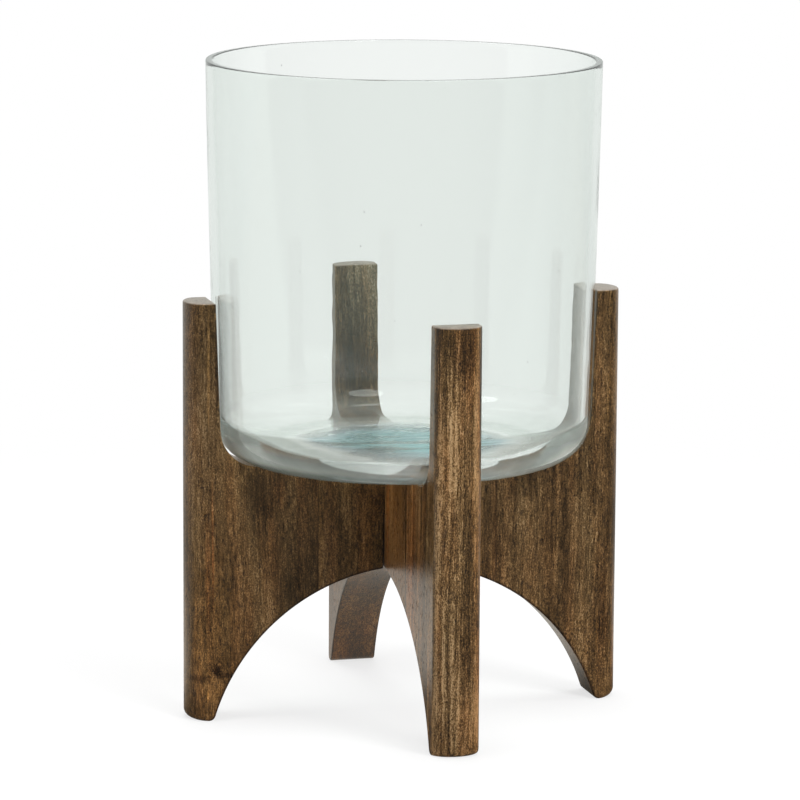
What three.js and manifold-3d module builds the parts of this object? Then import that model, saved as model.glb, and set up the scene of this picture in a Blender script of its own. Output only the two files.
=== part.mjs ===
// A clear glass cylinder vase standing in a crossed wooden stand.
// Lengths are in millimetres and +Z is up. The origin is the middle of the footprint, on the ground.
// One panel of the stand runs along X and the other along Y. They are alike and cross in a halved joint.

import * as THREE from 'three';
import { mergeVertices } from 'three/addons/utils/BufferGeometryUtils.js';
import Module from 'manifold-3d';

const wasm = await Module();
wasm.setup();

// Vase
const rimRadius = 100;
const heelRadius = 95.8;
const vaseHeight = 203;
const heelCorner = 20;
const insideCorner = 18;
const rimWall = 3.4;
const heelWall = 4.2;
const baseThickness = 7;
const footRing = 18.8;
const puntDepth = 2.5;
const rimEdge = 0.6;
const flarePower = 1.2;

// Stand
const panelThickness = 24;
const postWidth = 14.2;
const postHeight = 84;
const webHeight = 55;
const archRise = 75.5;
const footWidth = 13;
const legRounding = 8.5;
const cradleCorner = 20;
const footOuterCorner = 4.5;
const footInnerCorner = 3.5;
const centreStaveWidth = 94;

// Clearances
const seatClearance = 0.3;
const mouthClearance = 2.2;
const heelClearance = 0.8;
const lowerSlotClearance = 0.8;
const upperSlotClearance = 0.3;
const lapClearance = 0.3;

// Fineness of the curves
const vaseSides = 64;
const wallSteps = 4;
const puntSteps = 5;
const heelSteps = 9;
const arcStep = THREE.MathUtils.degToRad(7.5);
const smallArcSteps = 3;
const legRoundingSteps = 14;
const sameSpot = 0.001;
const quarterTurn = Math.PI / 2;

// Levels of the stand, and the length by which a cutter stands past what it cuts
const cradleFloor = archRise + webHeight;
const standHeight = cradleFloor + postHeight;
const lapHeight = archRise + webHeight / 2;
const cutterMargin = 5;

// Radius of the vase's outside at a height above its own foot, from the top of the heel corner up.
function outerRadius(height) {
  const share = (height - heelCorner) / (vaseHeight - heelCorner);
  return rimRadius - (rimRadius - heelRadius) * Math.pow(1 - share, flarePower);
}

function wallAt(height) {
  const share = (height - heelCorner) / (vaseHeight - heelCorner);
  return heelWall + (rimWall - heelWall) * share;
}

// Half-widths of the space between the posts, at their tops and at the floor of the cradle.
const mouthHalf = outerRadius(postHeight - seatClearance) + mouthClearance;
const floorHalf = heelRadius + heelClearance;
const panelHalf = mouthHalf + postWidth;

// Points along an arc of a given centre and radius, with both ends.
function arcPoints(x, y, radius, from, to, steps = Math.max(2, Math.ceil(Math.abs(to - from) / arcStep))) {
  const points = [];
  for (let i = 0; i <= steps; i++) {
    const angle = from + ((to - from) * i) / steps;
    points.push(new THREE.Vector2(x + radius * Math.cos(angle), y + radius * Math.sin(angle)));
  }
  return points;
}

function mirrored(points) {
  return points.map((point) => new THREE.Vector2(-point.x, point.y)).reverse();
}

// Drops each point that lies on the one before it, as where two arcs meet.
function withoutRepeats(points) {
  return points.filter((point, i) => i === 0 || point.distanceTo(points[i - 1]) > sameSpot);
}

// Solids
function solidOf(geometry) {
  const bare = geometry.index ? geometry.toNonIndexed() : geometry.clone();
  bare.deleteAttribute('normal');
  bare.deleteAttribute('uv');
  const merged = mergeVertices(bare);
  return new wasm.Manifold(
    new wasm.Mesh({
      numProp: 3,
      vertProperties: new Float32Array(merged.attributes.position.array),
      triVerts: new Uint32Array(merged.index.array),
    }),
  );
}

function geometryOf(solid) {
  const mesh = solid.getMesh();
  const geometry = new THREE.BufferGeometry();
  geometry.setAttribute('position', new THREE.BufferAttribute(mesh.vertProperties, 3));
  geometry.setIndex(new THREE.BufferAttribute(mesh.triVerts, 1));
  geometry.computeVertexNormals();
  return geometry;
}

// A box given by the ends of its sides.
function boxSolid(lowX, highX, lowY, highY, lowZ, highZ) {
  const box = new THREE.BoxGeometry(highX - lowX, highY - lowY, highZ - lowZ);
  box.translate((lowX + highX) / 2, (lowY + highY) / 2, (lowZ + highZ) / 2);
  return solidOf(box);
}

// Materials
function stainedWood(color) {
  return new THREE.MeshStandardMaterial({ color, roughness: 0.5, metalness: 0 });
}

function clearGlass() {
  return new THREE.MeshStandardMaterial({
    color: 0xdce8e4,
    roughness: 0.05,
    metalness: 0,
    transparent: true,
    opacity: 0.35,
  });
}

// Right half of the panel's outline, from the crown of the arch round the leg to the middle of the cradle.
// The arch is one arc, rounded over into the sole of the foot.
function halfOutline() {
  const archHalf = panelHalf - footWidth;
  const archRadius = (archHalf ** 2 + archRise ** 2) / (2 * archRise);
  const archCentre = archRise - archRadius;
  const roundingX = Math.sqrt((archRadius + footInnerCorner) ** 2 - (footInnerCorner - archCentre) ** 2);
  const archEnd = Math.atan2(footInnerCorner - archCentre, roundingX);
  const soleX = panelHalf - footOuterCorner;

  const lean = Math.atan2(mouthHalf - floorHalf, postHeight);
  const cornerX = floorHalf - (cradleCorner * (1 - Math.sin(lean))) / Math.cos(lean);
  return [
    ...arcPoints(0, archCentre, archRadius, quarterTurn, archEnd),
    ...arcPoints(roundingX, footInnerCorner, footInnerCorner, archEnd - Math.PI, -quarterTurn, smallArcSteps),
    ...arcPoints(soleX, footOuterCorner, footOuterCorner, -quarterTurn, 0, smallArcSteps),
    new THREE.Vector2(panelHalf, standHeight),
    new THREE.Vector2(mouthHalf, standHeight),
    ...arcPoints(cornerX, cradleFloor + cradleCorner, cradleCorner, -lean, -quarterTurn),
  ];
}

// The whole panel before it is cut: its outline through the thickness, with both outer edges rounded.
function panelBlank() {
  const half = withoutRepeats(halfOutline());
  const outline = new THREE.Shape([...half, ...mirrored(half).slice(0, -1)]);
  const slab = new THREE.ExtrudeGeometry(outline, { depth: panelThickness, bevelEnabled: false });
  slab.translate(0, 0, -panelThickness / 2);
  slab.rotateX(quarterTurn);

  const roundEnd = [];
  for (let i = 0; i <= legRoundingSteps; i++) {
    const angle = -quarterTurn + (Math.PI * i) / legRoundingSteps;
    const x = panelHalf - legRounding + legRounding * Math.cos(angle);
    roundEnd.push(new THREE.Vector2(x, (panelThickness / 2) * Math.sin(angle)));
  }
  const plan = new THREE.Shape([...roundEnd, ...mirrored(roundEnd)]);
  const depth = standHeight + 2 * cutterMargin;
  const rounded = new THREE.ExtrudeGeometry(plan, { depth, bevelEnabled: false });
  rounded.translate(0, 0, -cutterMargin);
  return solidOf(slab).intersect(solidOf(rounded));
}

// The part of the panel between two distances along it, as one stave.
function staveSolid(blank, low, high) {
  const side = panelThickness / 2 + cutterMargin;
  return blank.intersect(boxSolid(low, high, -side, side, -cutterMargin, standHeight + cutterMargin));
}

// The slot of the halved joint, from below or from above.
function slotSolid(lowZ, highZ, clearance) {
  const half = panelThickness / 2 + clearance;
  const side = panelThickness / 2 + cutterMargin;
  return boxSolid(-half, half, -side, side, lowZ, highZ);
}

function mesh(name, geometry, material) {
  const piece = new THREE.Mesh(geometry, material);
  piece.name = name;
  return piece;
}

// A panel is glued up from three upright staves: a leg at each end and the slotted one between them.
function panel(names, colors, slot) {
  const blank = panelBlank();
  const glueLine = centreStaveWidth / 2;
  const end = panelHalf + cutterMargin;
  const solids = [
    staveSolid(blank, -end, -glueLine),
    staveSolid(blank, -glueLine, glueLine).subtract(slot),
    staveSolid(blank, glueLine, end),
  ];
  const group = new THREE.Group();
  solids.forEach((solid, i) => group.add(mesh(names[i], geometryOf(solid), stainedWood(colors[i]))));
  return group;
}

// Panel along X, slotted from below.
function crossPanelX() {
  const roof = lapHeight + lapClearance / 2;
  return panel(
    ['leg_stave_left', 'centre_stave_x', 'leg_stave_right'],
    [0x5f472f, 0x55402b, 0x5b4630],
    slotSolid(-cutterMargin, roof, lowerSlotClearance),
  );
}

// Panel along Y, slotted from above.
function crossPanelY() {
  const floor = lapHeight - lapClearance / 2;
  const group = panel(
    ['leg_stave_front', 'centre_stave_y', 'leg_stave_rear'],
    [0x6e4f30, 0x63452a, 0x5e4a36],
    slotSolid(floor, standHeight + cutterMargin, upperSlotClearance),
  );
  group.rotation.z = quarterTurn;
  return group;
}

// Outline of the vase's section, from the middle of its underside round the wall to the middle of its floor.
function vaseOutline() {
  const ringInside = heelRadius - heelCorner - footRing;
  const puntRadius = (ringInside ** 2 + puntDepth ** 2) / (2 * puntDepth);
  const puntCentre = puntDepth - puntRadius;
  const puntEnd = Math.atan2(-puntCentre, ringInside);
  const insideStart = baseThickness + insideCorner;
  const insideX = outerRadius(Math.max(insideStart, heelCorner)) - wallAt(insideStart) - insideCorner;

  const outside = [];
  const inside = [];
  for (let i = 1; i < wallSteps; i++) {
    const height = heelCorner + ((vaseHeight - heelCorner) * i) / wallSteps;
    const back = insideStart + ((vaseHeight - insideStart) * (wallSteps - i)) / wallSteps;
    outside.push(new THREE.Vector2(outerRadius(height), height));
    inside.push(new THREE.Vector2(outerRadius(back) - wallAt(back), back));
  }
  const rimY = vaseHeight - rimEdge;
  const boreX = rimRadius - rimWall;
  return [
    ...arcPoints(0, puntCentre, puntRadius, quarterTurn, puntEnd, puntSteps),
    ...arcPoints(heelRadius - heelCorner, heelCorner, heelCorner, -quarterTurn, 0, heelSteps),
    ...outside,
    ...arcPoints(rimRadius - rimEdge, rimY, rimEdge, 0, quarterTurn, smallArcSteps),
    ...arcPoints(boreX + rimEdge, rimY, rimEdge, quarterTurn, Math.PI, smallArcSteps),
    ...inside,
    ...arcPoints(insideX, insideStart, insideCorner, 0, -quarterTurn, heelSteps),
    new THREE.Vector2(0, baseThickness),
  ];
}

function vase() {
  const outline = withoutRepeats(vaseOutline());
  // The first point is on the axis, whatever the rounding of its cosine.
  outline[0].x = 0;
  const turned = new THREE.LatheGeometry(outline, vaseSides);
  turned.rotateX(quarterTurn);
  const piece = mesh('glass_vase', turned, clearGlass());
  piece.position.z = cradleFloor + seatClearance;
  return piece;
}

const vaseWithStand = new THREE.Group();
vaseWithStand.add(crossPanelX(), crossPanelY(), vase());

export default vaseWithStand;
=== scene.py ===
"""A clear glass vase in a crossed wooden stand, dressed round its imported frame.

Lengths are in metres, +Z is up, and the origin is the middle of the footprint on the floor.
"""

import logging
import math
from collections.abc import Sequence
from dataclasses import dataclass, field
from enum import Enum
from typing import Any

import bpy
import numpy as np
from mathutils import Matrix, Vector


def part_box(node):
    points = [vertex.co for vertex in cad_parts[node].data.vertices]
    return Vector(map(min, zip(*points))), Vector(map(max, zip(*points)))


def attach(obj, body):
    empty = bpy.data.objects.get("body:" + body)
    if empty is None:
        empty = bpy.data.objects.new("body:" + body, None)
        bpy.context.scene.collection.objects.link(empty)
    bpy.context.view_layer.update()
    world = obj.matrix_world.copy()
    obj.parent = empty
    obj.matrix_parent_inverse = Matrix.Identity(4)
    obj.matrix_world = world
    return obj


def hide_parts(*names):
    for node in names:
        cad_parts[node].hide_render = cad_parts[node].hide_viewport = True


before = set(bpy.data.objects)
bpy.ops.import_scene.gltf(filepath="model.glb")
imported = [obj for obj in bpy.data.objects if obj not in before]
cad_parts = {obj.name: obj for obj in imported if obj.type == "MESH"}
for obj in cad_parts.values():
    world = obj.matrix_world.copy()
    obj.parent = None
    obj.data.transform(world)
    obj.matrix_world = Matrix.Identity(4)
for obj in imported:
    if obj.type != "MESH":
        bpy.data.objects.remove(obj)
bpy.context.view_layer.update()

LOG = logging.getLogger("vase_with_stand")
QUARTER = math.pi / 2
SHARP_ANGLE = math.radians(34)

Point = tuple[float, float]
Place = tuple[float, float, float]
Colour = tuple[float, float, float]
WHITE: Colour = (1.0, 1.0, 1.0)


def from_srgb(red: int, green: int, blue: int) -> Colour:
    """Linear colour of a screen colour given in bytes."""
    shares = (value / 255 for value in (red, green, blue))
    return tuple(s / 12.92 if s < 0.04045 else ((s + 0.055) / 1.055) ** 2.4 for s in shares)


# Outlines and meshes


def arc(centre: Point, radii: Point, start: float, stop: float, steps: int) -> list[Point]:
    """Points along an ellipse's arc, with both ends.

    Args:
        centre: Middle of the ellipse.
        radii: Its half-widths along the two axes.
        start: Angle of the first point, in radians.
        stop: Angle of the last point.
        steps: Number of chords.

    Returns:
        steps + 1 points.
    """
    angles = np.linspace(start, stop, steps + 1)
    return [(centre[0] + radii[0] * math.cos(a), centre[1] + radii[1] * math.sin(a)) for a in angles]


def line(start: Point, stop: Point, steps: int) -> list[Point]:
    """Points strictly between two ends of a line, spaced evenly."""
    shares = np.linspace(0, 1, steps + 1)[1:-1]
    return [(start[0] + (stop[0] - start[0]) * s, start[1] + (stop[1] - start[1]) * s) for s in shares]


def linked(name: str, data: bpy.types.ID) -> bpy.types.Object:
    """A new object with its data, in the scene."""
    obj = bpy.data.objects.new(name, data)
    bpy.context.scene.collection.objects.link(obj)
    return obj


def body_through(name: str, rings: np.ndarray, worn: np.ndarray) -> bpy.types.Object:
    """Closed body through a stack of rings, with its two end rings filled.

    Args:
        name: Name of the object and its mesh.
        rings: Places of the rings' points, as an array of ring, point and axis.
        worn: How much each point lies on a rubbed edge, by ring and point. Below 0 the edge is darkened.

    Returns:
        The new object, linked to the scene, with the attribute "edge".
    """
    count, around = rings.shape[:2]
    faces = []
    for i in range(count - 1):
        for j in range(around):
            k = (j + 1) % around
            faces.append((i * around + j, i * around + k, (i + 1) * around + k, (i + 1) * around + j))
    faces.append(tuple(reversed(range(around))))
    faces.append(tuple(range((count - 1) * around, count * around)))
    mesh = bpy.data.meshes.new(name)
    mesh.from_pydata(rings.reshape(-1, 3).tolist(), [], faces)
    edge = mesh.attributes.new("edge", "FLOAT", "POINT")
    edge.data.foreach_set("value", worn.reshape(-1).astype(np.float32))
    if signed_volume(mesh) < 0:
        mesh.flip_normals()
    mesh.shade_smooth()
    mesh.set_sharp_from_angle(angle=SHARP_ANGLE)
    mesh.validate()
    return linked(name, mesh)


def signed_volume(mesh: bpy.types.Mesh) -> float:
    """Volume inside a closed mesh, negative where its faces point inwards."""
    mesh.calc_loop_triangles()
    places = np.array([v.co for v in mesh.vertices])
    corners = places[np.array([t.vertices for t in mesh.loop_triangles])]
    return float(np.einsum("ij,ij->i", corners[:, 0], np.cross(corners[:, 1], corners[:, 2])).sum() / 6)


# Shader and geometry nodes


class Socket:
    """An output of a node that takes part in Python expressions on values."""

    def __init__(self, maker: "NodeMaker", link: bpy.types.NodeSocket | None) -> None:
        """Keeps the output and the maker of its tree."""
        self.maker = maker
        self.link = link

    def math(self, operation: str, *values: "Socket | float") -> "Socket":
        """Result of a Math node on this value and others."""
        inputs = dict(enumerate((self, *values)))
        return self.maker.node("ShaderNodeMath", {"operation": operation}, inputs)

    def __add__(self, other: "Socket | float") -> "Socket":
        """This value plus another."""
        return self.math("ADD", other)

    def __mul__(self, other: "Socket | float") -> "Socket":
        """This value times another."""
        return self.math("MULTIPLY", other)

    def __sub__(self, other: "Socket | float") -> "Socket":
        """This value less another."""
        return self.math("SUBTRACT", other)

    def __rsub__(self, other: float) -> "Socket":
        """A number less this value."""
        return (self * -1.0) + other

    def __truediv__(self, other: "Socket | float") -> "Socket":
        """This value over another."""
        return self.math("DIVIDE", other)

    def __pow__(self, other: "Socket | float") -> "Socket":
        """This value to a power."""
        return self.math("POWER", other)

    def most(self, other: "Socket | float") -> "Socket":
        """The greater of this value and another."""
        return self.math("MAXIMUM", other)

    def hypot(self, other: "Socket") -> "Socket":
        """Length of the slanted side over this value and another."""
        return ((self * self) + (other * other)) ** 0.5

    def swing(self, size: float) -> "Socket":
        """How far this value is from a half, times a size."""
        return (self - 0.5) * size

    def rise(self, low: float, high: float) -> "Socket":
        """A smooth step from 0 at low to 1 at high, or down where low is the greater."""
        inputs = {"Value": self, "From Min": low, "From Max": high}
        return self.maker.node("ShaderNodeMapRange", {"interpolation_type": "SMOOTHSTEP"}, inputs)

    def between(self, low: float, high: float) -> "Socket":
        """This value from 0 to 1, spread evenly from low to high."""
        inputs = {"Value": self, "To Min": low, "To Max": high}
        return self.maker.node("ShaderNodeMapRange", {}, inputs)


class NodeMaker:
    """Adds nodes to one tree."""

    def __init__(self, tree: bpy.types.NodeTree, ending: str = "ShaderNodeOutputMaterial") -> None:
        """Empties the tree, and keeps it with the type of the node that ends it."""
        self.tree = tree
        self.ending = ending
        tree.nodes.clear()

    @staticmethod
    def find(sockets: Any, key: int | str) -> bpy.types.NodeSocket:
        """The socket with that index, identifier or name."""
        if isinstance(key, int):
            return sockets[key]
        return next((s for s in sockets if s.identifier == key), None) or sockets[key]

    def node(
        self,
        kind: str,
        settings: dict[str, Any] | None = None,
        inputs: dict[int | str, Any] | None = None,
        output: int | str = 0,
    ) -> Socket:
        """Adds one node.

        Args:
            kind: The node's type.
            settings: Its properties, set first. "stops" holds a ramp's places and colours.
            inputs: Values or sockets for its inputs, by index, identifier or name.
            output: The output that is returned.

        Returns:
            That output, ready for expressions.
        """
        new = self.tree.nodes.new(kind)
        for name, value in (settings or {}).items():
            if name == "stops":
                elements = new.color_ramp.elements
                while len(elements) < len(value):
                    elements.new(1.0)
                for element, (place, colour) in zip(elements, value):
                    element.position = place
                    element.color = (*colour, 1.0)
            else:
                setattr(new, name, value)
        for key, value in (inputs or {}).items():
            socket = self.find(new.inputs, key)
            if isinstance(value, Socket):
                self.tree.links.new(value.link, socket)
            else:
                socket.default_value = (*value, 1.0) if socket.type == "RGBA" else value
        return Socket(self, self.find(new.outputs, output) if len(new.outputs) else None)

    def place(self) -> Socket:
        """Where the shaded point lies, in the object's own coordinates."""
        return self.node("ShaderNodeTexCoord", {}, {}, "Object")

    def attribute(self, name: str) -> Socket:
        """A number that the mesh keeps at its points, for a material."""
        return self.node("ShaderNodeAttribute", {"attribute_name": name}, {}, "Fac")

    def ray(self, fact: str) -> Socket:
        """A fact of the ray, from a Light Path node."""
        return self.node("ShaderNodeLightPath", {}, {}, fact)

    def noise(self, place: Socket, detail: float, roughness: float = 0.5, output: int | str = 0) -> Socket:
        """A Noise Texture on a place."""
        inputs = {"Vector": place, "Scale": 1.0, "Detail": detail, "Roughness": roughness}
        return self.node("ShaderNodeTexNoise", {}, inputs, output)

    def placed(self, place: Socket, scale: Place, shift: Place = (0, 0, 0), turn: float = 0.0) -> Socket:
        """A place that is scaled, turned about Z and moved by a Mapping node."""
        inputs = {"Vector": place, "Scale": scale, "Location": shift, "Rotation": (0, 0, turn)}
        return self.node("ShaderNodeMapping", {}, inputs)

    def vectors(self, operation: str, place: Socket, other: Socket | Place) -> Socket:
        """Result of a Vector Math node on two vectors."""
        return self.node("ShaderNodeVectorMath", {"operation": operation}, {0: place, 1: other})

    def scaled(self, place: Socket, size: Socket | float) -> Socket:
        """A vector times a number."""
        return self.node("ShaderNodeVectorMath", {"operation": "SCALE"}, {0: place, "Scale": size})

    def parts(self, place: Socket) -> tuple[Socket, Socket, Socket]:
        """The three numbers of a place."""
        outputs = self.node("ShaderNodeSeparateXYZ", {}, {0: place}).link.node.outputs
        return tuple(Socket(self, outputs[i]) for i in range(3))

    def vector(self, x: Socket | float, y: Socket | float, z: Socket | float) -> Socket:
        """A vector from three numbers."""
        return self.node("ShaderNodeCombineXYZ", {}, {0: x, 1: y, 2: z})

    def mix(
        self, factor: Socket | float, low: Socket | Colour, high: Socket | Colour, blend: str = "MIX"
    ) -> Socket:
        """A mix of two colours."""
        settings = {"data_type": "RGBA", "blend_type": blend, "clamp_factor": True}
        inputs = {"Factor_Float": factor, "A_Color": low, "B_Color": high}
        return self.node("ShaderNodeMix", settings, inputs, "Result_Color")

    def tinted(self, colour: Socket, tint: Colour, factor: Socket | float = 1.0) -> Socket:
        """A colour times a tint, by a factor, which keeps the pattern in it."""
        return self.mix(factor, colour, tint, "MULTIPLY")

    def ramp(self, factor: Socket, stops: Sequence[tuple[float, Colour]]) -> Socket:
        """A colour from a Color Ramp."""
        return self.node("ShaderNodeValToRGB", {"stops": stops}, {0: factor})

    def blend(self, factor: Socket, first: Socket, second: Socket) -> Socket:
        """A mix of two shaders."""
        return self.node("ShaderNodeMixShader", {}, {0: factor, 1: first, 2: second})

    def glow(
        self, colour: Socket | Colour, strength: Socket | float, kind: str = "ShaderNodeEmission"
    ) -> Socket:
        """A shader that gives light by itself."""
        return self.node(kind, {}, {"Color": colour, "Strength": strength})

    def shone_through(self, body: Socket, shade: Colour) -> Socket:
        """A shader that lets the light of lamps straight through.

        Args:
            body: The shader that is seen.
            shade: Colour of the light once it is through.

        Returns:
            The body, but a clear skin for the rays that look for light.
        """
        clear = self.node("ShaderNodeBsdfTransparent", {}, {"Color": shade})
        return self.blend(self.ray("Is Shadow Ray").most(self.ray("Is Diffuse Ray")), body, clear)

    def finish(self, surface: Socket, volume: Socket | None = None) -> None:
        """Ends the tree of a material, a lamp or the world."""
        inputs = {"Surface": surface}
        if volume is not None:
            inputs["Volume"] = volume
        self.node(self.ending, {}, inputs)

    def named(self, name: str) -> Socket:
        """A number that the mesh keeps at its points, for geometry nodes."""
        settings = {"data_type": "FLOAT"}
        return self.node("GeometryNodeInputNamedAttribute", settings, {"Name": name}, "Attribute")

    def sampled(self, geometry: Socket, value: Socket, index: Socket, kind: str) -> Socket:
        """A value, a FLOAT or a FLOAT_VECTOR, at one point of a geometry."""
        inputs = {"Geometry": geometry, "Value": value, "Index": index}
        settings = {"data_type": kind, "domain": "POINT"}
        return self.node("GeometryNodeSampleIndex", settings, inputs, "Value")

    def changed(self, kind: str, geometry: Socket, **inputs: Any) -> Socket:
        """A geometry after one node that changes it."""
        return self.node(kind, {}, {"Geometry": geometry, **inputs}, "Geometry")

    def dressed(self, geometry: Socket, material: Socket) -> Socket:
        """A geometry as one smooth mesh in one material."""
        real = self.changed("GeometryNodeRealizeInstances", geometry)
        smoothed = {"Geometry": real, "Shade Smooth": True}
        smooth = self.node("GeometryNodeSetShadeSmooth", {}, smoothed, "Geometry")
        return self.changed("GeometryNodeSetMaterial", smooth, Material=material)


def new_material(name: str) -> tuple[bpy.types.Material, NodeMaker]:
    """An empty material with nodes, and the maker of its tree."""
    material = bpy.data.materials.new(name)
    material.use_nodes = True
    return material, NodeMaker(material.node_tree)


def new_tree(
    name: str, kinds: dict[str, str], result: str
) -> tuple[bpy.types.NodeTree, NodeMaker, dict[str, Socket]]:
    """An empty tree of geometry nodes.

    Args:
        name: Name of the tree.
        kinds: Kind of each input, by the input's name.
        result: Name of the one geometry that comes out.

    Returns:
        The tree, the maker of its nodes, and its inputs by name.
    """
    tree = bpy.data.node_groups.new(name, "GeometryNodeTree")
    for key, kind in kinds.items():
        tree.interface.new_socket(key, in_out="INPUT", socket_type=f"NodeSocket{kind}")
    tree.interface.new_socket(result, in_out="OUTPUT", socket_type="NodeSocketGeometry")
    n = NodeMaker(tree)
    return tree, n, {key: n.node("NodeGroupInput", {}, {}, key) for key in kinds}


@dataclass(frozen=True)
class Pattern:
    """A noise over the surface, stretched, moved and turned."""

    stretch: Place
    detail: float = 2.0
    roughness: float = 0.5
    shift: Place = (0.0, 0.0, 0.0)
    turn: float = 0.0

    def over(self, n: NodeMaker, place: Socket) -> Socket:
        """The pattern at a place, as a value about a half."""
        return n.noise(n.placed(place, self.stretch, self.shift, self.turn), self.detail, self.roughness)


# Finishes


class Mark(Enum):
    """Kinds of mark that lie in the wood or on it, and of painted shade and painted reflection laid on it."""

    PALE = "pale streak"
    ORANGE = "orange streak"
    # Dark zones in the wood, and painted shade beside the joint and on the left post's inner edge
    DARK = "dark zone"
    GREY = "grey zone"
    KNOT = "knot"
    # Cracks in the wood, and the painted shade of the half-lap's slit
    CRACK_AND_SLIT_SHADE = "crack"
    # Pale grey film: partly dust, partly a painted reflection of the glass's veil on the wood behind it
    BLOOM = "grey bloom"


@dataclass(frozen=True)
class GrainMark:
    """One mark in the wood or painted on it, an upright ellipse on the panel's face."""

    kind: Mark
    along: float
    height: float
    half_width: float
    half_height: float
    strength: float = 1.0


MARK_TINTS: dict[Mark, Colour] = {
    Mark.PALE: (2.3, 2.2, 1.9),
    Mark.ORANGE: (1.6, 1.05, 0.65),
    Mark.DARK: (0.42, 0.4, 0.42),
    Mark.GREY: (0.75, 0.8, 0.95),
    Mark.KNOT: (0.2, 0.18, 0.2),
    Mark.CRACK_AND_SLIT_SHADE: (0.1, 0.08, 0.08),
    Mark.BLOOM: (1.5, 2.3, 5.0),
}


class Layer(Enum):
    """Patterns that make up the wood's grain."""

    RINGS = "growth rings"
    STREAKS = "long streaks"
    FIBRES = "fibres"
    GRIT = "grit"
    BLOTCHES = "blotches"
    PORES = "open pores"


Layers = dict[Layer, Socket]
Shares = tuple[tuple[Layer, float], ...]


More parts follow.
